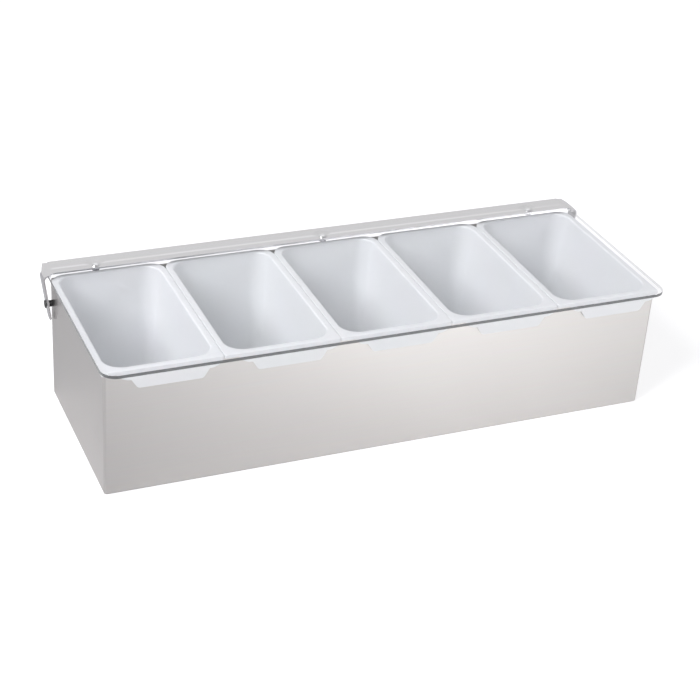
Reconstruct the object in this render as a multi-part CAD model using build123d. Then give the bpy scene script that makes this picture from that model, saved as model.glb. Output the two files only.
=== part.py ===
from build123d import *
import math
import os

# Bar garnish tray: a steel pan that carries a row of plastic inserts under a hinged clear lid.
# All lengths are millimetres. X runs along the tray, -Y is its front and +Z is up.
# The origin is the centre of the pan's flat bottom.

# Overrun of every cut past the face that it starts from
overrun = 2.0

# How near to a height an edge must lie to be picked for rounding
pick_margin = 0.1

# Steel pan
pan_length = 380.0
pan_depth = 128.0
pan_height = 86.5
pan_sheet = 0.8
pan_corner_radius = 2.0
pan_bottom_radius = 1.5

# Insert flanges, which rest on the pan's rim side by side
insert_count = 5
flange_gap = 0.3
flange_end_overhang = 1.3
flange_thickness = 2.1
flange_front_radius = 1.5
flange_rear_radius = 10.0
flange_edge_radius = 0.5
flange_rear_inset = 1.0

# Lip and finger tab in the middle of each insert's front edge
lip_clearance = 0.4
lip_thickness = 1.8
lip_drop = 5.0
lip_corner_radius = 11.0
tab_drop = 6.2
tab_bottom_length = 41.0
tab_top_length = 49.0
tab_shift = 4.5
tab_corner_radius = 3.0

# Insert tubs
tub_wall = 1.4
tub_floor_clearance = 8.8
tub_side_margin = 3.0
tub_front_clearance = 0.4
tub_rear_clearance = 0.8
tub_draft = 3.5
tub_corner_radius = 12.0
tub_bottom_radius = 8.0
mouth_radius = 1.2

# Clear lid
lid_clearance = 0.7
lid_thickness = 2.4
lid_end_overhang = 2.6
lid_front_overhang = 11.5
lid_rear_inset = 1.0
lid_front_radius = 9.5
lid_rear_radius = 1.5
lid_edge_radius = 0.3

# Steel hinge bar, folded down into an ear at each end
bar_sheet = 1.0
bar_width = 18.5
bar_front_inset = 8.5
bar_waist_inset = 3.0
bar_waist_margin = 1.2
bar_waist_radius = 2.5
bar_step_setback = 8.4
bar_step_run = 1.2
bar_step_rise = 0.6
bar_step_end_margin = 3.3
bar_fold_clearance = 0.2
bar_fold_radius = 2.6

# Ears, which lean inwards and taper towards a round tip
ear_lean = 7.7
ear_neck_width = 10.0
ear_tip_radius = 4.0
ear_tip_drop = 12.1

# Rivets that hold the bar on the lid, and the flat pads pressed in the bar round them
rivet_spacing_share = 0.4154
rivet_setback = 7.3
rivet_pad_radius = 3.8
rivet_pad_run = 3.6
rivet_shank_radius = 1.8
rivet_head_radius = 3.2
rivet_head_height = 1.6
rivet_foot_radius = 2.5
rivet_foot_height = 0.7
rivet_clearance = 0.1

# Pivots: a welded stud, a sleeve behind the ear and a push-on cap outside it
pivot_setback = 3.3
pivot_drop = 15.7
stud_radius = 1.5
stud_clearance = 0.05
stud_end_inset = 0.3
sleeve_wall = 0.6
sleeve_clearance = 0.05
cap_radius = 2.7
cap_thickness = 0.7
cap_edge_radius = 0.4
cap_clearance = 0.05
ear_play = 0.25

# Places worked out from the sizes above
insert_pitch = (pan_length + 2 * flange_end_overhang + flange_gap) / insert_count
flange_length = insert_pitch - flange_gap
flange_front = -pan_depth / 2 - lip_clearance - lip_thickness
flange_rear = pan_depth / 2 - flange_rear_inset
flange_depth = flange_rear - flange_front
flange_y = (flange_rear + flange_front) / 2
flange_top = pan_height + flange_thickness
tub_depth = pan_height - pan_sheet - tub_floor_clearance
tub_length = flange_length - 2 * tub_side_margin
tub_front = -pan_depth / 2 + pan_sheet + tub_front_clearance
tub_rear = pan_depth / 2 - pan_sheet - tub_rear_clearance
tub_width = tub_rear - tub_front
tub_y = (tub_rear + tub_front) / 2
bar_front = pan_depth / 2 - bar_front_inset
bar_rear = bar_front + bar_width
bar_step_front = bar_front + bar_step_setback
bar_step_rear = bar_step_front + bar_step_run
pivot_y = bar_front + pivot_setback
pivot_height = pan_height - pivot_drop
lid_length = pan_length + 2 * lid_end_overhang
lid_bottom = flange_top + lid_clearance
lid_top = lid_bottom + lid_thickness
lid_front = -pan_depth / 2 - lid_front_overhang
lid_rear = bar_rear - lid_rear_inset
rivet_y = bar_front + rivet_setback
rivet_spacing = lid_length * rivet_spacing_share
fold_x = lid_length / 2 + bar_fold_clearance
fold_z = lid_top - bar_fold_radius
fold_angle = 90.0 + ear_lean
fold_outer_x = fold_x + bar_fold_radius + bar_sheet
bar_top = lid_top + bar_step_rise + bar_sheet
ear_tip_z = pivot_height - ear_tip_drop
ear_inner_run = (fold_z - pivot_height) * math.tan(math.radians(ear_lean))
ear_inner_x = fold_x + bar_fold_radius / math.cos(math.radians(ear_lean)) - ear_inner_run
ear_outer_x = ear_inner_x + bar_sheet / math.cos(math.radians(ear_lean))


STANDING = (Align.CENTER, Align.CENTER, Align.MIN)


def box_between(low, high):
    """A box from its lowest corner to its highest corner."""
    size = [b - a for a, b in zip(low, high)]
    middle = [(a + b) / 2 for a, b in zip(low, high)]
    return Pos(*middle) * Box(*size)


def rod_along_x(radius, x_low, x_high, y, z):
    """A round rod parallel to X."""
    start = Plane(origin=(x_low, y, z), x_dir=(0, 1, 0), z_dir=(1, 0, 0))
    return extrude(start * Circle(radius), amount=x_high - x_low)


def edges_at_height(part, z):
    """The edges that lie wholly at one height."""
    return part.edges().filter_by_position(Axis.Z, z - pick_margin, z + pick_margin)


def rounded_block(length, depth, height, corner_radius, bottom_radius):
    """A block standing on the floor with rounded upright corners and a rounded foot."""
    block = extrude(RectangleRounded(length, depth, corner_radius), amount=height)
    return fillet(block.faces().sort_by(Axis.Z)[0].edges(), bottom_radius)


def make_pan():
    """The pan: one deep-drawn sheet, open at the top."""
    outside = rounded_block(pan_length, pan_depth, pan_height, pan_corner_radius, pan_bottom_radius)
    inside = rounded_block(
        pan_length - 2 * pan_sheet,
        pan_depth - 2 * pan_sheet,
        pan_height - pan_sheet + overrun,
        pan_corner_radius - pan_sheet,
        pan_bottom_radius - pan_sheet,
    )
    return outside - Pos(0, 0, pan_sheet) * inside


def tapered_tub(length, depth, corner_radius, top, drop, bottom_radius):
    """A solid that narrows downwards from a rounded rectangle, with a rounded foot."""
    mouth = Plane(origin=(0, tub_y, top), x_dir=(1, 0, 0), z_dir=(0, 0, -1))
    outline = mouth * RectangleRounded(length, depth, corner_radius)
    tub = extrude(outline, amount=drop, taper=tub_draft)
    return fillet(tub.faces().sort_by(Axis.Z)[0].edges(), bottom_radius)


def make_tab():
    """The finger tab: a plate with sloping ends and rounded lower corners."""
    top = pan_height - lip_drop
    bottom = top - tab_drop
    half_top = tab_top_length / 2
    half_bottom = tab_bottom_length / 2
    corners = [(-half_bottom, bottom), (half_bottom, bottom), (half_top, top), (-half_top, top)]
    front = Plane(origin=(tab_shift, flange_front, 0), x_dir=(1, 0, 0), z_dir=(0, -1, 0))
    outline = Polygon(*corners, align=None)
    lower_corners = outline.vertices().sort_by(Axis.Y)[:2]
    outline = fillet(lower_corners, tab_corner_radius)
    return extrude(front * outline, amount=-lip_thickness)


def flange_outline():
    """The flange seen from above: nearly square corners in front, well rounded ones behind."""
    outline = Pos(0, flange_y) * Rectangle(flange_length, flange_depth)
    outline = fillet(outline.vertices().sort_by(Axis.Y)[:2], flange_front_radius)
    return fillet(outline.vertices().sort_by(Axis.Y)[-2:], flange_rear_radius)


def make_lip():
    """The skirt that hangs from the flange's front edge and sweeps up to it on both sides of the tab."""
    bottom = pan_height - lip_drop
    drop = extrude(Pos(0, 0, bottom) * flange_outline(), amount=lip_drop)
    front = Plane(origin=(tab_shift, flange_front, bottom), x_dir=(1, 0, 0), z_dir=(0, -1, 0))
    length = tab_top_length + 2 * lip_corner_radius
    skirt = Rectangle(length, 2 * lip_corner_radius, align=(Align.CENTER, Align.MIN))
    skirt = fillet(skirt.vertices().sort_by(Axis.Y)[:2], lip_corner_radius)
    return drop & extrude(front * skirt, amount=-lip_thickness)


def make_insert(x):
    """One lift-out insert: a flange on the rim, a tapered tub, a front lip and a finger tab."""
    flange = extrude(Pos(0, 0, pan_height) * flange_outline(), amount=flange_thickness)
    outside = tapered_tub(
        tub_length,
        tub_width,
        tub_corner_radius + tub_wall,
        pan_height,
        tub_depth,
        tub_bottom_radius + tub_wall,
    )
    body = flange + outside + make_lip() + make_tab()
    body = fillet(edges_at_height(body, flange_top), flange_edge_radius)
    inside = tapered_tub(
        tub_length - 2 * tub_wall,
        tub_width - 2 * tub_wall,
        tub_corner_radius,
        flange_top,
        tub_depth + flange_thickness - tub_wall,
        tub_bottom_radius,
    )
    body = body - inside
    mouth_reach = tub_length / 2
    mouth_edges = edges_at_height(body, flange_top).filter_by_position(Axis.X, -mouth_reach, mouth_reach)
    return Pos(x, 0, 0) * fillet(mouth_edges, mouth_radius)


def make_lid_cover():
    """The clear lid: a flat plate with rounded front corners and its rivet holes."""
    length = lid_length
    depth = lid_rear - lid_front
    plate = box_between((-length / 2, lid_front, lid_bottom), (length / 2, lid_rear, lid_top))
    upright = plate.edges().filter_by(Axis.Z)
    plate = fillet(upright.sort_by(Axis.Y)[:2], lid_front_radius)
    upright = plate.edges().filter_by(Axis.Z)
    plate = fillet(upright.sort_by(Axis.Y)[-2:], lid_rear_radius)
    faces = plate.faces().sort_by(Axis.Z)
    plate = fillet(faces[0].edges() + faces[-1].edges(), lid_edge_radius)
    for x in rivet_places():
        plate = plate - Pos(x, rivet_y, 0) * rivet_tool(rivet_clearance)
    return plate


def rivet_places():
    """The rivets' places along the bar."""
    return [-rivet_spacing, 0, rivet_spacing]


def rivet_tool(clearance):
    """A rivet's shank and its countersunk foot, made larger by a clearance."""
    shank_radius = rivet_shank_radius + clearance
    foot_radius = rivet_foot_radius + clearance
    shank = Cylinder(shank_radius, lid_thickness + bar_sheet, align=STANDING)
    foot = Cone(foot_radius, shank_radius, rivet_foot_height, align=STANDING)
    return Pos(0, 0, lid_bottom) * (shank + foot)


def make_rivet(x):
    """A rivet: a foot flush in the lid's underside and a domed head on the bar."""
    head_base = lid_top + bar_sheet
    dome_radius = (rivet_head_radius**2 + rivet_head_height**2) / (2 * rivet_head_height)
    dome = Pos(0, 0, head_base + rivet_head_height - dome_radius) * Sphere(dome_radius)
    room = Cylinder(rivet_head_radius + overrun, rivet_head_height + overrun, align=STANDING)
    head = dome & (Pos(0, 0, head_base) * room)
    return Pos(x, rivet_y, 0) * (rivet_tool(0) + head)


def bend_shift(run):
    """How far a ramp's upper bends lie to its low side of its lower bends, in a sheet of even thickness."""
    return bar_sheet * math.tan(math.atan2(bar_step_rise, run) / 2)


def bar_section():
    """The bar's section in Y and in height over the lid: a front band, a step and a rear band."""
    return Polygon(
        (bar_front, 0),
        (bar_step_front, 0),
        (bar_step_rear, bar_step_rise),
        (bar_rear, bar_step_rise),
        (bar_rear, bar_step_rise + bar_sheet),
        (bar_step_rear - bend_shift(bar_step_run), bar_step_rise + bar_sheet),
        (bar_step_front - bend_shift(bar_step_run), bar_sheet),
        (bar_front, bar_sheet),
        align=None,
    )


def under_bar_top():
    """All the room from the lid up to the strip's upper face, as a section in Y and height."""
    return Polygon(
        (bar_front, 0),
        (bar_rear, 0),
        (bar_rear, bar_step_rise + bar_sheet),
        (bar_step_rear - bend_shift(bar_step_run), bar_step_rise + bar_sheet),
        (bar_step_front - bend_shift(bar_step_run), bar_sheet),
        (bar_front, bar_sheet),
        align=None,
    )


def along_bar_width(*points):
    """A solid as deep as the bar, from points of X and height over the lid."""
    start = Plane(origin=(0, bar_rear, lid_top), x_dir=(1, 0, 0), z_dir=(0, -1, 0))
    return extrude(start * Polygon(*points, align=None), amount=bar_width)


def end_sheet():
    """The strip's right end: flat on the lid up to the fold, with a ramp up to the rear band."""
    foot = fold_x - bar_step_end_margin
    return along_bar_width(
        (foot - bar_step_run, bar_step_rise),
        (foot, 0),
        (fold_x, 0),
        (fold_x, bar_sheet),
        (foot + bend_shift(bar_step_run), bar_sheet),
        (foot - bar_step_run + bend_shift(bar_step_run), bar_step_rise + bar_sheet),
    )


def end_hollow():
    """The room over the strip's right end and its ramp."""
    upper_foot = fold_x - bar_step_end_margin + bend_shift(bar_step_run)
    upper = bar_step_rise + bar_sheet
    return along_bar_width(
        (upper_foot - bar_step_run, upper),
        (upper_foot, bar_sheet),
        (fold_x + overrun, bar_sheet),
        (fold_x + overrun, upper + overrun),
        (upper_foot - bar_step_run, upper + overrun),
    )


def turned_about_rivet(*points):
    """A round solid about a rivet's axis, from points of radius and height over the lid."""
    start = Plane(origin=(0, 0, 0), x_dir=(1, 0, 0), z_dir=(0, -1, 0))
    return revolve(start * Polygon(*points, align=None), Axis.Z)


def rivet_pad_sheet():
    """The sheet of a rivet's pad: flat on the lid, and rising round its rim to the rear band."""
    rim = rivet_pad_radius + rivet_pad_run
    return turned_about_rivet(
        (0, 0),
        (rivet_pad_radius, 0),
        (rim, bar_step_rise),
        (rim, bar_step_rise + bar_sheet),
        (rim - bend_shift(rivet_pad_run), bar_step_rise + bar_sheet),
        (rivet_pad_radius - bend_shift(rivet_pad_run), bar_sheet),
        (0, bar_sheet),
    )


def rivet_pad_hollow():
    """The room over a rivet's pad, below the rear band's upper face."""
    upper_radius = rivet_pad_radius + rivet_pad_run - bend_shift(rivet_pad_run)
    upper = bar_step_rise + bar_sheet
    return turned_about_rivet(
        (0, bar_sheet),
        (rivet_pad_radius - bend_shift(rivet_pad_run), bar_sheet),
        (upper_radius, upper),
        (upper_radius, upper + overrun),
        (0, upper + overrun),
    )


def ear_outline():
    """The ear seen from the side: upright in front, tapered behind, round at the tip."""
    tip_y = bar_front + ear_tip_radius
    tip = Pos(tip_y, ear_tip_z + ear_tip_radius) * Circle(ear_tip_radius)
    neck = Line((bar_front, fold_z), (bar_front + ear_neck_width, fold_z))
    ear = make_hull(tip.edges() + neck.edges())
    fold_height = bar_top + overrun - fold_z
    fold_room = Rectangle(bar_rear - bar_front + overrun, fold_height, align=Align.MIN)
    return ear + Pos(bar_front, fold_z) * fold_room


def waist_cutter():
    """The shallow cut along the strip's front edge, which runs out in a curve near each end."""
    length = 2 * (fold_x - bar_waist_margin)
    depth = bar_waist_inset + overrun
    outline = Pos(0, bar_front + bar_waist_inset - depth / 2) * Rectangle(length, depth)
    outline = fillet(outline.vertices().sort_by(Axis.Y)[-2:], bar_waist_radius)
    height = bar_top - lid_top + 2 * overrun
    return extrude(Pos(0, 0, lid_top - overrun) * outline, amount=height)


def shoulder_cutter():
    """The slanted cut behind the ear, from the strip's rear corner across the fold to the ear's neck."""
    neck_y = bar_front + ear_neck_width
    rear = bar_rear + overrun
    end_x = fold_outer_x + overrun
    outline = Polygon(
        (fold_x, bar_rear),
        (fold_x + bar_fold_radius, neck_y),
        (end_x, neck_y),
        (end_x, rear),
        (fold_x, rear),
        align=None,
    )
    return extrude(Pos(0, 0, fold_z) * outline, amount=bar_top + overrun - fold_z)


def make_ear():
    """The flat fold at the strip's right end, and the ear that hangs from it."""
    start = Plane(origin=(fold_x, 0, lid_top), x_dir=(0, 1, 0), z_dir=(1, 0, 0))
    section = start * Pos(bar_front, 0) * Rectangle(bar_width, bar_sheet, align=Align.MIN)
    fold_axis = Axis((fold_x, 0, fold_z), (0, 1, 0))
    fold = revolve(section, fold_axis, revolution_arc=fold_angle)
    turned = section.rotate(fold_axis, fold_angle)
    lean = math.radians(ear_lean)
    ear_run = (fold_z - ear_tip_z + overrun) / math.cos(lean)
    leg = extrude(turned, amount=ear_run, dir=(-math.sin(lean), 0, -math.cos(lean)))
    side = Plane(origin=(0, 0, 0), x_dir=(0, 1, 0), z_dir=(1, 0, 0))
    kept = extrude(side * ear_outline(), amount=fold_outer_x + overrun)
    ear = ((fold + leg) & kept) - shoulder_cutter()
    hole_radius = stud_radius + stud_clearance
    hole = rod_along_x(hole_radius, pan_length / 2, fold_outer_x + overrun, pivot_y, pivot_height)
    return ear - hole


def make_hinge_bar():
    """The hinge bar: a stepped strip with flat pads and ends, and an ear folded down at each end."""
    start = Plane(origin=(0, 0, lid_top), x_dir=(0, 1, 0), z_dir=(1, 0, 0))
    strip = extrude(start * bar_section(), amount=fold_x, both=True)
    room = extrude(start * under_bar_top(), amount=fold_x, both=True)
    ends = end_sheet() + mirror(end_sheet(), about=Plane.YZ)
    strip = strip + (ends & room)
    strip = strip - end_hollow() - mirror(end_hollow(), about=Plane.YZ)
    for x in rivet_places():
        pad_place = Pos(x, rivet_y, lid_top)
        strip = strip + ((pad_place * rivet_pad_sheet()) & room)
        strip = strip - pad_place * rivet_pad_hollow()
        strip = strip - Pos(x, rivet_y, 0) * rivet_tool(rivet_clearance)
    strip = strip - waist_cutter()
    ear = make_ear()
    return strip + ear + mirror(ear, about=Plane.YZ)


def stud_end_x():
    """How far out each stud reaches, just short of its cap's face."""
    return cap_inner_x() + cap_thickness - stud_end_inset


def cap_inner_x():
    """The cap's inner face, clear of the leaning ear at any turn."""
    return ear_outer_x + cap_radius * math.tan(math.radians(ear_lean)) + ear_play


def sleeve_outer_x():
    """The sleeve's outer end, clear of the leaning ear at any turn."""
    sleeve_radius = stud_radius + sleeve_clearance + sleeve_wall
    return ear_inner_x - sleeve_radius * math.tan(math.radians(ear_lean)) - ear_play


def make_stud():
    """The right stud: a plain pin welded square on the pan's end wall."""
    return rod_along_x(stud_radius, pan_length / 2, stud_end_x(), pivot_y, pivot_height)


def make_sleeve():
    """The right sleeve: a short tube on the stud between the wall and the ear."""
    bore_radius = stud_radius + sleeve_clearance
    wall_x = pan_length / 2
    tube = rod_along_x(bore_radius + sleeve_wall, wall_x, sleeve_outer_x(), pivot_y, pivot_height)
    bore = rod_along_x(bore_radius, wall_x - overrun, sleeve_outer_x() + overrun, pivot_y, pivot_height)
    return tube - bore


def make_cap():
    """The right cap: a push-on cap that keeps the ear on its stud."""
    inner_x = cap_inner_x()
    cap = rod_along_x(cap_radius, inner_x, inner_x + cap_thickness, pivot_y, pivot_height)
    cap = fillet(cap.faces().sort_by(Axis.X)[-1].edges(), cap_edge_radius)
    socket_radius = stud_radius + cap_clearance
    socket = rod_along_x(socket_radius, inner_x - overrun, stud_end_x(), pivot_y, pivot_height)
    return cap - socket


def save(part, node):
    """Write one node's solid."""
    export_step(part, os.path.join("parts", node + ".step"))


def main():
    os.makedirs("parts", exist_ok=True)
    save(make_pan(), "pan")
    for index in range(insert_count):
        x = (index - (insert_count - 1) / 2) * insert_pitch
        save(make_insert(x), f"insert_{index + 1}")
    save(make_lid_cover(), "lid_cover")
    save(make_hinge_bar(), "hinge_bar")
    for side, x in zip(("left", "middle", "right"), rivet_places()):
        save(make_rivet(x), "lid_rivet_" + side)
    for node, make in (("pivot_stud", make_stud), ("pivot_sleeve", make_sleeve), ("pivot_cap", make_cap)):
        part = make()
        save(part, node + "_right")
        save(mirror(part, about=Plane.YZ), node + "_left")


main()
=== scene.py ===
"""Studio scene and finishes for a bar garnish tray.

A brushed steel pan carries white moulded inserts side by side under a clear
hinged lid. Everything is in metres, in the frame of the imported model.
"""

import logging
from dataclasses import dataclass, field
from enum import Enum
from typing import Any

import bmesh
import bpy
from mathutils import Matrix, Vector

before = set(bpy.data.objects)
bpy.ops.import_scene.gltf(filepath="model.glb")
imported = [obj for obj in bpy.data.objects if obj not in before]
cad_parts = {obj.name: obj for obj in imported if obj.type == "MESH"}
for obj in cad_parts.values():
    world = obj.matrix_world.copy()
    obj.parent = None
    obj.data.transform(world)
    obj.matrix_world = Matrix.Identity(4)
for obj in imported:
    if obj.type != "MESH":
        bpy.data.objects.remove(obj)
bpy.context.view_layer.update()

MM = 0.001
log = logging.getLogger("garnish_tray")

Colour = tuple[float, float, float, float]


class Side(Enum):
    """The two ends of the tray."""

    LEFT = "left"
    RIGHT = "right"


class RivetPlace(Enum):
    """Where each rivet sits along the hinge bar."""

    LEFT = "left"
    MIDDLE = "middle"
    RIGHT = "right"


class Grain(Enum):
    """The way that the polishing belt ran over a steel piece."""

    ROUND_THE_WALLS = (0.0, 0.0, 1.0)
    ALONG_THE_BAR = (0.0, 1.0, 1.0)


def linear(hex_colour: str, alpha: float = 1.0) -> Colour:
    """Turn an sRGB hex colour into linear values.

    Args:
        hex_colour: The colour as six hex digits after a hash.
        alpha: The opacity that goes with it.

    Returns:
        The linear red, green and blue, and the alpha.
    """
    digits = hex_colour.lstrip("#")
    parts = [int(digits[i : i + 2], 16) / 255 for i in (0, 2, 4)]
    red, green, blue = (
        c / 12.92 if c <= 0.04045 else ((c + 0.055) / 1.055) ** 2.4 for c in parts
    )
    return red, green, blue, alpha


def per_metre(spacing_mm: float) -> float:
    """Give the pattern scale whose features lie this many millimetres apart."""
    return 1.0 / (spacing_mm * MM)


def add_node(
    tree: bpy.types.NodeTree,
    kind: str,
    settings: dict[str, Any] | None = None,
    values: dict[str, Any] | None = None,
    links: dict[str, bpy.types.NodeSocket] | None = None,
) -> bpy.types.Node:
    """Add one node with its settings, socket values and links.

    Args:
        tree: The node tree that gets the node.
        kind: The node's type name.
        settings: Properties of the node itself.
        values: Constants for input sockets, by socket name or number.
        links: Output sockets to join to input sockets, by name or number.

    Returns:
        The new node.
    """
    node = tree.nodes.new(kind)
    for name, value in (settings or {}).items():
        setattr(node, name, value)
    for name, value in (values or {}).items():
        node.inputs[name].default_value = value
    for name, source in (links or {}).items():
        tree.links.new(source, node.inputs[name])
    return node


def add_noise(
    tree: bpy.types.NodeTree,
    vector: bpy.types.NodeSocket,
    spacing_mm: float,
    detail: float,
) -> bpy.types.Node:
    """Add a noise pattern whose features lie this many millimetres apart."""
    return add_node(
        tree,
        "ShaderNodeTexNoise",
        values={"Scale": per_metre(spacing_mm), "Detail": detail},
        links={"Vector": vector},
    )


def add_range(
    tree: bpy.types.NodeTree, value: bpy.types.NodeSocket, low: float, high: float
) -> bpy.types.Node:
    """Add a node that spreads a value from 0 to 1 between two limits."""
    return add_node(
        tree,
        "ShaderNodeMapRange",
        values={"To Min": low, "To Max": high},
        links={"Value": value},
    )


def add_mottle(
    tree: bpy.types.NodeTree,
    colour: str,
    share: float,
    pattern: bpy.types.NodeSocket,
) -> bpy.types.Node:
    """Add a node that darkens a colour by a share of a pattern."""
    return add_node(
        tree,
        "ShaderNodeMix",
        {"data_type": "RGBA", "blend_type": "MULTIPLY"},
        {"Factor": share, "A": linear(colour)},
        {"B": pattern},
    )


def add_relief(
    tree: bpy.types.NodeTree,
    height: bpy.types.NodeSocket,
    depth_mm: float,
    strength: float,
) -> bpy.types.Node:
    """Add a fine relief this many millimetres deep."""
    return add_node(
        tree,
        "ShaderNodeBump",
        values={"Strength": strength, "Distance": depth_mm * MM},
        links={"Height": height},
    )


def show(tree: bpy.types.NodeTree, surface: bpy.types.NodeSocket) -> None:
    """Make a shader the material's surface."""
    add_node(tree, "ShaderNodeOutputMaterial", links={"Surface": surface})


def new_material(name: str) -> tuple[bpy.types.Material, bpy.types.NodeTree]:
    """Make an empty node material.

    Args:
        name: The material's name.

    Returns:
        The material and its node tree, with no nodes in it.
    """
    material = bpy.data.materials.new(name)
    material.use_nodes = True
    material.node_tree.nodes.clear()
    return material, material.node_tree


@dataclass(frozen=True)
class BrushedStainless:
    """Stainless steel sheet with a fine belt-brushed satin face."""

    name: str
    colour: str
    roughness: float
    grain: Grain
    line_spacing_mm: float = 0.9
    line_length_mm: float = 45.0
    cloud_mm: float = 60.0
    roughness_swing: float = 0.05
    line_depth_mm: float = 0.004
    line_detail: float = 3.0
    line_fineness: float = 0.6
    line_strength: float = 0.25
    line_tone_share: float = 0.06
    cloud_detail: float = 2.0
    cloud_share: float = 0.35
    highlight_stretch: float = 0.5

    def build(self) -> bpy.types.Material:
        """Build the finish.

        Returns:
            A metal material with drawn-out lines and a slow change in gloss.
        """
        # Belt-brushed steel: soft, drawn-out reflections with faint parallel lines.
        # Real lines lie about 0.1 mm apart and are drawn coarser so that they show.
        material, tree = new_material(self.name)
        place = add_node(tree, "ShaderNodeTexCoord")
        along, across = per_metre(self.line_length_mm), per_metre(self.line_spacing_mm)
        stretch = tuple(across if axis else along for axis in self.grain.value)
        drawn = add_node(
            tree,
            "ShaderNodeMapping",
            values={"Scale": stretch},
            links={"Vector": place.outputs["Object"]},
        )
        lines = add_node(
            tree,
            "ShaderNodeTexNoise",
            values={
                "Scale": 1.0,
                "Detail": self.line_detail,
                "Roughness": self.line_fineness,
            },
            links={"Vector": drawn.outputs["Vector"]},
        )
        clouds = add_noise(
            tree, place.outputs["Object"], self.cloud_mm, self.cloud_detail
        )
        mixed = add_node(
            tree,
            "ShaderNodeMix",
            values={"Factor": self.cloud_share},
            links={"A": lines.outputs["Fac"], "B": clouds.outputs["Fac"]},
        )
        rough = add_range(
            tree,
            mixed.outputs["Result"],
            self.roughness - self.roughness_swing,
            self.roughness + self.roughness_swing,
        )
        tone = add_mottle(
            tree, self.colour, self.line_tone_share, lines.outputs["Color"]
        )
        bump = add_relief(
            tree, lines.outputs["Fac"], self.line_depth_mm, self.line_strength
        )
        shader = add_node(
            tree,
            "ShaderNodeBsdfPrincipled",
            values={"Metallic": 1.0, "Anisotropic": self.highlight_stretch},
            links={
                "Base Color": tone.outputs["Result"],
                "Roughness": rough.outputs["Result"],
                "Normal": bump.outputs["Normal"],
            },
        )
        show(tree, shader.outputs["BSDF"])
        return material


@dataclass(frozen=True)
class MouldedAbs:
    """White ABS, injection moulded in a finely etched tool."""

    name: str = "white_moulded_abs"
    colour: str = "#EFF1F3"
    roughness: float = 0.38
    roughness_swing: float = 0.04
    refraction: float = 1.54
    etch_mm: float = 0.8
    etch_detail: float = 2.0
    etch_depth_mm: float = 0.01
    etch_strength: float = 0.3
    flow_mm: float = 35.0
    flow_detail: float = 1.0
    flow_tone_share: float = 0.03
    glow_depth_mm: float = 3.0
    glow_share: float = 0.3

    def build(self) -> bpy.types.Material:
        """Build the finish.

        Returns:
            A white plastic material with a fine etched grain.
        """
        # Moulded ABS: milky white, lit a little from within, with a soft broad sheen.
        # The real grain is about 0.2 mm and is drawn coarser so that it shows.
        material, tree = new_material(self.name)
        place = add_node(tree, "ShaderNodeTexCoord")
        etch = add_noise(tree, place.outputs["Object"], self.etch_mm, self.etch_detail)
        flow = add_noise(tree, place.outputs["Object"], self.flow_mm, self.flow_detail)
        tone = add_mottle(
            tree, self.colour, self.flow_tone_share, flow.outputs["Color"]
        )
        rough = add_range(
            tree,
            flow.outputs["Fac"],
            self.roughness - self.roughness_swing,
            self.roughness + self.roughness_swing,
        )
        bump = add_relief(
            tree, etch.outputs["Fac"], self.etch_depth_mm, self.etch_strength
        )
        shader = add_node(
            tree,
            "ShaderNodeBsdfPrincipled",
            values={
                "IOR": self.refraction,
                "Subsurface Weight": self.glow_share,
                "Subsurface Radius": (1.0, 1.0, 1.0),
                "Subsurface Scale": self.glow_depth_mm * MM,
            },
            links={
                "Base Color": tone.outputs["Result"],
                "Roughness": rough.outputs["Result"],
                "Normal": bump.outputs["Normal"],
            },
        )
        show(tree, shader.outputs["BSDF"])
        return material


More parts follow.
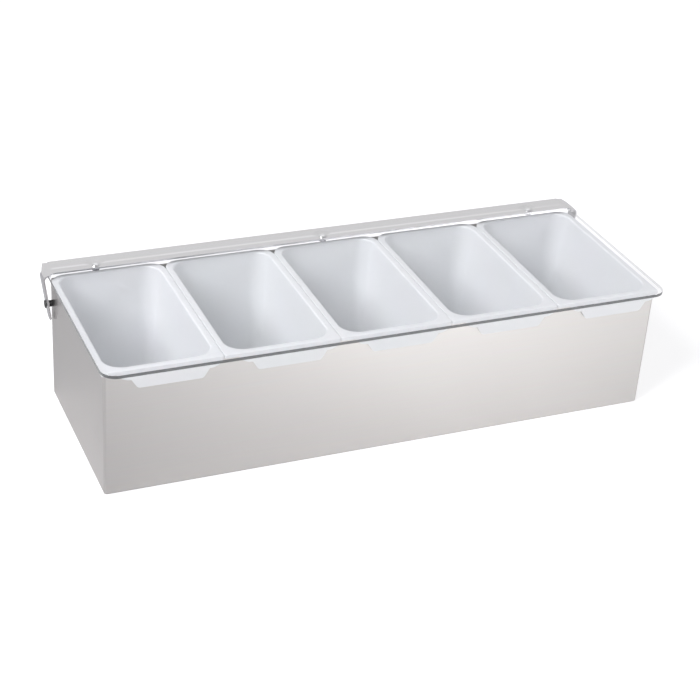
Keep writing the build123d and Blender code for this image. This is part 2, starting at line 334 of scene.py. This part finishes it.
@dataclass(frozen=True)
class ClearAcrylic:
    """Clear cast acrylic sheet with flame-polished edges."""

    name: str = "clear_cast_acrylic"
    tint: str = "#FCFCFD"
    painted_edge_shade: str = "#505254"
    edge_opacity: float = 0.85
    far_edge_opacity: float = 0.3
    edge_roughness: float = 0.15
    roughness: float = 0.04
    smooth_share: float = 0.5
    scuffed_share: float = 2.0
    scuff_mm: float = 25.0
    scuff_detail: float = 4.0
    refraction: float = 1.49
    sheen_share: float = 1.7
    edge_below_tilt: float = 0.5

    def build(self) -> bpy.types.Material:
        """Build the finish.

        Returns:
            A see-through material with a mirror-like face and edges painted dark as
            shade.
        """
        # Clear acrylic: nearly unseen face on, a pale sheen at a slant, and painted
        # shade on
        # the edges: a dark grey that stands in for the light trapped inside the sheet.
        material, tree = new_material(self.name)
        place = add_node(tree, "ShaderNodeTexCoord")
        scuffs = add_noise(
            tree, place.outputs["Object"], self.scuff_mm, self.scuff_detail
        )
        rough = add_range(
            tree,
            scuffs.outputs["Fac"],
            self.roughness * self.smooth_share,
            self.roughness * self.scuffed_share,
        )
        clear = add_node(
            tree, "ShaderNodeBsdfTransparent", values={"Color": linear(self.tint)}
        )
        sheen = add_node(
            tree,
            "ShaderNodeBsdfGlossy",
            values={"Color": (1.0, 1.0, 1.0, 1.0)},
            links={"Roughness": rough.outputs["Result"]},
        )
        fresnel = add_node(
            tree, "ShaderNodeFresnel", values={"IOR": self.refraction}
        )
        side = add_node(tree, "ShaderNodeNewGeometry")
        outside = add_node(
            tree,
            "ShaderNodeMath",
            {"operation": "SUBTRACT"},
            {0: 1.0},
            {1: side.outputs["Backfacing"]},
        )
        both_faces = add_node(
            tree,
            "ShaderNodeMath",
            {"operation": "MULTIPLY", "use_clamp": True},
            {1: self.sheen_share},
            {0: fresnel.outputs["Fac"]},
        )
        shine = add_node(
            tree,
            "ShaderNodeMath",
            {"operation": "MULTIPLY"},
            links={0: both_faces.outputs["Value"], 1: outside.outputs["Value"]},
        )
        face = add_node(
            tree,
            "ShaderNodeMixShader",
            links={
                0: shine.outputs["Value"],
                1: clear.outputs["BSDF"],
                2: sheen.outputs["BSDF"],
            },
        )
        opacity = add_range(
            tree,
            side.outputs["Backfacing"],
            self.edge_opacity,
            self.far_edge_opacity,
        )
        # Painted shade: every steep face of the sheet gets a dark grey, part
        # see-through surface.
        edge = add_node(
            tree,
            "ShaderNodeBsdfPrincipled",
            values={
                "Base Color": linear(self.painted_edge_shade),
                "Roughness": self.edge_roughness,
                "IOR": self.refraction,
            },
            links={"Alpha": opacity.outputs["Result"]},
        )
        split = add_node(
            tree,
            "ShaderNodeSeparateXYZ",
            links={"Vector": place.outputs["Normal"]},
        )
        level = add_node(
            tree,
            "ShaderNodeMath",
            {"operation": "ABSOLUTE"},
            links={0: split.outputs["Z"]},
        )
        is_edge = add_node(
            tree,
            "ShaderNodeMath",
            {"operation": "LESS_THAN"},
            {1: self.edge_below_tilt},
            {0: level.outputs["Value"]},
        )
        both = add_node(
            tree,
            "ShaderNodeMixShader",
            links={
                0: is_edge.outputs["Value"],
                1: face.outputs["Shader"],
                2: edge.outputs["BSDF"],
            },
        )
        show(tree, both.outputs["Shader"])
        return material


@dataclass(frozen=True)
class BlackNylon:
    """Black nylon, moulded, for the pivots' sleeves and caps."""

    name: str = "black_moulded_nylon"
    colour: str = "#141416"
    roughness: float = 0.45
    roughness_swing: float = 0.08
    refraction: float = 1.53
    grain_mm: float = 0.5
    grain_detail: float = 2.0

    def build(self) -> bpy.types.Material:
        """Build the finish.

        Returns:
            A near-black plastic material with a waxy, slightly uneven sheen.
        """
        # Moulded nylon: near black, waxy rather than shiny.
        material, tree = new_material(self.name)
        place = add_node(tree, "ShaderNodeTexCoord")
        grain = add_noise(
            tree, place.outputs["Object"], self.grain_mm, self.grain_detail
        )
        rough = add_range(
            tree,
            grain.outputs["Fac"],
            self.roughness - self.roughness_swing,
            self.roughness + self.roughness_swing,
        )
        shader = add_node(
            tree,
            "ShaderNodeBsdfPrincipled",
            values={"Base Color": linear(self.colour), "IOR": self.refraction},
            links={"Roughness": rough.outputs["Result"]},
        )
        show(tree, shader.outputs["BSDF"])
        return material


def dress(node: str, material: bpy.types.Material) -> bpy.types.Object:
    """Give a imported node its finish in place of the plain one.

    Args:
        node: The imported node's name.
        material: The finish.

    Returns:
        The node's object.
    """
    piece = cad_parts[node]
    piece.data.materials.clear()
    piece.data.materials.append(material)
    log.info("dressed %s in %s", node, material.name)
    return piece


@dataclass
class Pan:
    """The steel pan."""

    node: str = "pan"
    finish: BrushedStainless = field(
        default_factory=lambda: BrushedStainless(
            "brushed_stainless_pan", "#D9D6D3", 0.3, Grain.ROUND_THE_WALLS
        )
    )

    def build(self) -> None:
        """Dress the pan."""
        dress(self.node, self.finish.build())


@dataclass
class Inserts:
    """The row of white inserts."""

    count: int = 5
    finish: MouldedAbs = field(default_factory=MouldedAbs)

    def build(self) -> None:
        """Dress every insert in the same moulded plastic."""
        plastic = self.finish.build()
        for number in range(1, self.count + 1):
            dress(f"insert_{number}", plastic)


@dataclass
class HingedLid:
    """The clear lid with its hinge bar and rivets."""

    lid_finish: ClearAcrylic = field(default_factory=ClearAcrylic)
    bar_finish: BrushedStainless = field(
        default_factory=lambda: BrushedStainless(
            "satin_stainless_bar", "#DCDBDD", 0.24, Grain.ALONG_THE_BAR
        )
    )
    rivet_finish: BrushedStainless = field(
        default_factory=lambda: BrushedStainless(
            "turned_stainless_rivet",
            "#DEDEE0",
            0.09,
            Grain.ALONG_THE_BAR,
            line_length_mm=6.0,
            roughness_swing=0.02,
        )
    )

    def build(self) -> None:
        """Dress the lid, the bar and the rivets."""
        dress("lid_cover", self.lid_finish.build())
        dress("hinge_bar", self.bar_finish.build())
        steel = self.rivet_finish.build()
        for place in RivetPlace:
            dress(f"lid_rivet_{place.value}", steel)


@dataclass
class Pivots:
    """The studs that the lid turns on, with their sleeves and caps."""

    stud_finish: BrushedStainless = field(
        default_factory=lambda: BrushedStainless(
            "drawn_stainless_stud",
            "#D2D2D4",
            0.25,
            Grain.ALONG_THE_BAR,
            line_length_mm=3.0,
        )
    )
    cap_finish: BlackNylon = field(default_factory=BlackNylon)

    def build(self) -> None:
        """Dress both pivots."""
        steel, nylon = self.stud_finish.build(), self.cap_finish.build()
        for side in Side:
            dress(f"pivot_stud_{side.value}", steel)
            dress(f"pivot_sleeve_{side.value}", nylon)
            dress(f"pivot_cap_{side.value}", nylon)


@dataclass(frozen=True)
class Softbox:
    """One rectangular studio lamp that points at the tray."""

    name: str
    place: tuple[float, float, float]
    width: float
    height: float
    power: float
    aim: tuple[float, float, float] = (0.0, 0.0, 0.05)

    def build(self) -> bpy.types.Object:
        """Hang the lamp.

        Returns:
            The lamp's object.
        """
        lamp = bpy.data.lights.new(self.name, "AREA")
        lamp.shape = "RECTANGLE"
        lamp.size, lamp.size_y = self.width, self.height
        lamp.energy = self.power
        holder = bpy.data.objects.new(self.name, lamp)
        holder.location = self.place
        way = Vector(self.aim) - Vector(self.place)
        holder.rotation_euler = way.to_track_quat("-Z", "Y").to_euler()
        bpy.context.scene.collection.objects.link(holder)
        return holder


@dataclass
class Studio:
    """The pale floor, the surroundings, the lamps and the camera."""

    floor_reach: float = 6.0
    floor_colour: str = "#C3C3C6"
    floor_glow: float = 0.64
    lit_floor_from: float = -0.2
    lit_floor_to: float = 0.06
    lit_floor_glow: float = 0.84
    lit_floor_fade: tuple[float, float] = (0.14, 0.32)
    lit_floor_far_glow: float = 0.54
    foot_shadow_reach: tuple[float, float] = (-0.24, 0.04)
    surroundings_glow: float = 0.3
    mirrored_front: float = 0.35
    mirrored_back: float = 0.92
    camera_place: tuple[float, float, float] = (-0.414061, -0.901385, 0.606908)
    camera_right: tuple[float, float, float] = (0.921932, -0.382361, 0.061983)
    camera_ahead: tuple[float, float, float] = (0.360523, 0.788501, -0.498287)
    camera_lens_mm: float = 87.17
    camera_sensor_mm: float = 36.0
    softboxes: tuple[Softbox, ...] = (
        Softbox("left_softbox", (-1.7, -0.62, 1.6), 1.1, 1.1, 56.0),
        Softbox("right_softbox", (0.75, -1.05, 0.45), 0.7, 0.5, 6.0),
        Softbox("top_softbox", (0.1, 0.5, 2.0), 2.4, 1.8, 5.5),
    )

    def build(self) -> None:
        """Build the whole studio."""
        self.lay_floor()
        self.light_surroundings()
        for softbox in self.softboxes:
            softbox.build()
            log.info("hung %s", softbox.name)
        self.place_camera()
        bpy.context.scene.view_settings.view_transform = "Standard"

    def lay_floor(self) -> None:
        """Lay a wide pale floor that keeps the tray's soft shadow."""
        mesh = bpy.data.meshes.new("floor")
        surface = bmesh.new()
        bmesh.ops.create_grid(
            surface, x_segments=2, y_segments=2, size=self.floor_reach
        )
        surface.to_mesh(mesh)
        surface.free()
        mesh.materials.append(self.floor_material())
        floor = bpy.data.objects.new("floor", mesh)
        bpy.context.scene.collection.objects.link(floor)

    def floor_material(self) -> bpy.types.Material:
        """Build the floor's finish.

        Returns:
            A matt pale material that looks lighter to the camera. The steel mirrors
            a painted glow on it: painted light from the right and painted shadow at
                the tray's foot.
        """
        material, tree = new_material("pale_studio_floor")
        matt = add_node(
            tree,
            "ShaderNodeBsdfDiffuse",
            values={"Color": linear(self.floor_colour)},
        )
        rays = add_node(tree, "ShaderNodeLightPath")
        place = add_node(tree, "ShaderNodeTexCoord")
        split = add_node(
            tree,
            "ShaderNodeSeparateXYZ",
            links={"Vector": place.outputs["Object"]},
        )
        # Painted light: a glow that only glossy rays see, brighter towards the right
        # and fading far to the right.
        mirrored = add_node(
            tree,
            "ShaderNodeMapRange",
            values={
                "From Min": self.lit_floor_from,
                "From Max": self.lit_floor_to,
                "To Max": self.lit_floor_glow,
            },
            links={"Value": split.outputs["X"]},
        )
        fade_start, fade_end = self.lit_floor_fade
        faded = add_node(
            tree,
            "ShaderNodeMapRange",
            values={
                "From Min": fade_start,
                "From Max": fade_end,
                "To Max": self.lit_floor_far_glow,
            },
            links={
                "Value": split.outputs["X"],
                "To Min": mirrored.outputs["Result"],
            },
        )
        # Painted shadow: the glow falls to nothing near the tray's foot, in place of
        # its contact shadow.
        glow_end, dark_start = self.foot_shadow_reach
        painted_foot_shadow = add_node(
            tree,
            "ShaderNodeMapRange",
            values={"From Min": glow_end, "From Max": dark_start, "To Max": 0.0},
            links={
                "Value": split.outputs["Y"],
                "To Min": faded.outputs["Result"],
            },
        )
        painted_light_in_steel = add_node(
            tree,
            "ShaderNodeMath",
            {"operation": "MULTIPLY"},
            links={
                0: rays.outputs["Is Glossy Ray"],
                1: painted_foot_shadow.outputs["Result"],
            },
        )
        strength = add_node(
            tree,
            "ShaderNodeMapRange",
            values={"To Max": self.floor_glow},
            links={
                "Value": rays.outputs["Is Camera Ray"],
                "To Min": painted_light_in_steel.outputs["Value"],
            },
        )
        glow = add_node(
            tree,
            "ShaderNodeEmission",
            links={"Strength": strength.outputs["Result"]},
        )
        lifted = add_node(
            tree,
            "ShaderNodeAddShader",
            links={0: matt.outputs["BSDF"], 1: glow.outputs["Emission"]},
        )
        show(tree, lifted.outputs["Shader"])
        return material

    def light_surroundings(self) -> None:
        """Make the surroundings white to look at, and a dim room to all other rays.

        Steel mirrors a room that is dark on the camera's side and pale behind the
        tray, which gives its bends their dark and light lines.
        """
        world = bpy.data.worlds.new("studio_surroundings")
        world.use_nodes = True
        tree = world.node_tree
        tree.nodes.clear()
        rays = add_node(tree, "ShaderNodeLightPath")
        place = add_node(tree, "ShaderNodeTexCoord")
        way = add_node(
            tree,
            "ShaderNodeSeparateXYZ",
            links={"Vector": place.outputs["Generated"]},
        )
        mirrored = add_node(
            tree,
            "ShaderNodeMapRange",
            values={
                "From Min": -1.0,
                "From Max": 1.0,
                "To Min": self.mirrored_front,
                "To Max": self.mirrored_back,
            },
            links={"Value": way.outputs["Y"]},
        )
        room = add_node(
            tree,
            "ShaderNodeMapRange",
            values={"To Min": self.surroundings_glow},
            links={
                "Value": rays.outputs["Is Glossy Ray"],
                "To Max": mirrored.outputs["Result"],
            },
        )
        seen = add_node(
            tree,
            "ShaderNodeMath",
            {"operation": "MAXIMUM"},
            links={
                0: rays.outputs["Is Camera Ray"],
                1: rays.outputs["Is Transmission Ray"],
            },
        )
        strength = add_node(
            tree,
            "ShaderNodeMapRange",
            values={"To Max": 1.0},
            links={"Value": seen.outputs["Value"], "To Min": room.outputs["Result"]},
        )
        glow = add_node(
            tree,
            "ShaderNodeBackground",
            values={"Color": (1.0, 1.0, 1.0, 1.0)},
            links={"Strength": strength.outputs["Result"]},
        )
        add_node(
            tree,
            "ShaderNodeOutputWorld",
            links={"Surface": glow.outputs["Background"]},
        )
        bpy.context.scene.world = world

    def place_camera(self) -> None:
        """Set the camera where the photograph was taken from."""
        lens = bpy.data.cameras.new("camera")
        lens.lens = self.camera_lens_mm
        lens.sensor_width = self.camera_sensor_mm
        camera = bpy.data.objects.new("camera", lens)
        right, ahead = Vector(self.camera_right), Vector(self.camera_ahead)
        up = right.cross(ahead)
        turn = Matrix((right, up, -ahead)).transposed()
        camera.matrix_world = Matrix.Translation(self.camera_place) @ turn.to_4x4()
        bpy.context.scene.collection.objects.link(camera)
        bpy.context.scene.camera = camera


def main() -> None:
    """Dress the tray and build the studio round it."""
    logging.basicConfig(level=logging.INFO, format="%(name)s: %(message)s")
    for part in (Pan(), Inserts(), HingedLid(), Pivots(), Studio()):
        part.build()
        log.info("finished %s", type(part).__name__)


if __name__ == "__main__":
    main()
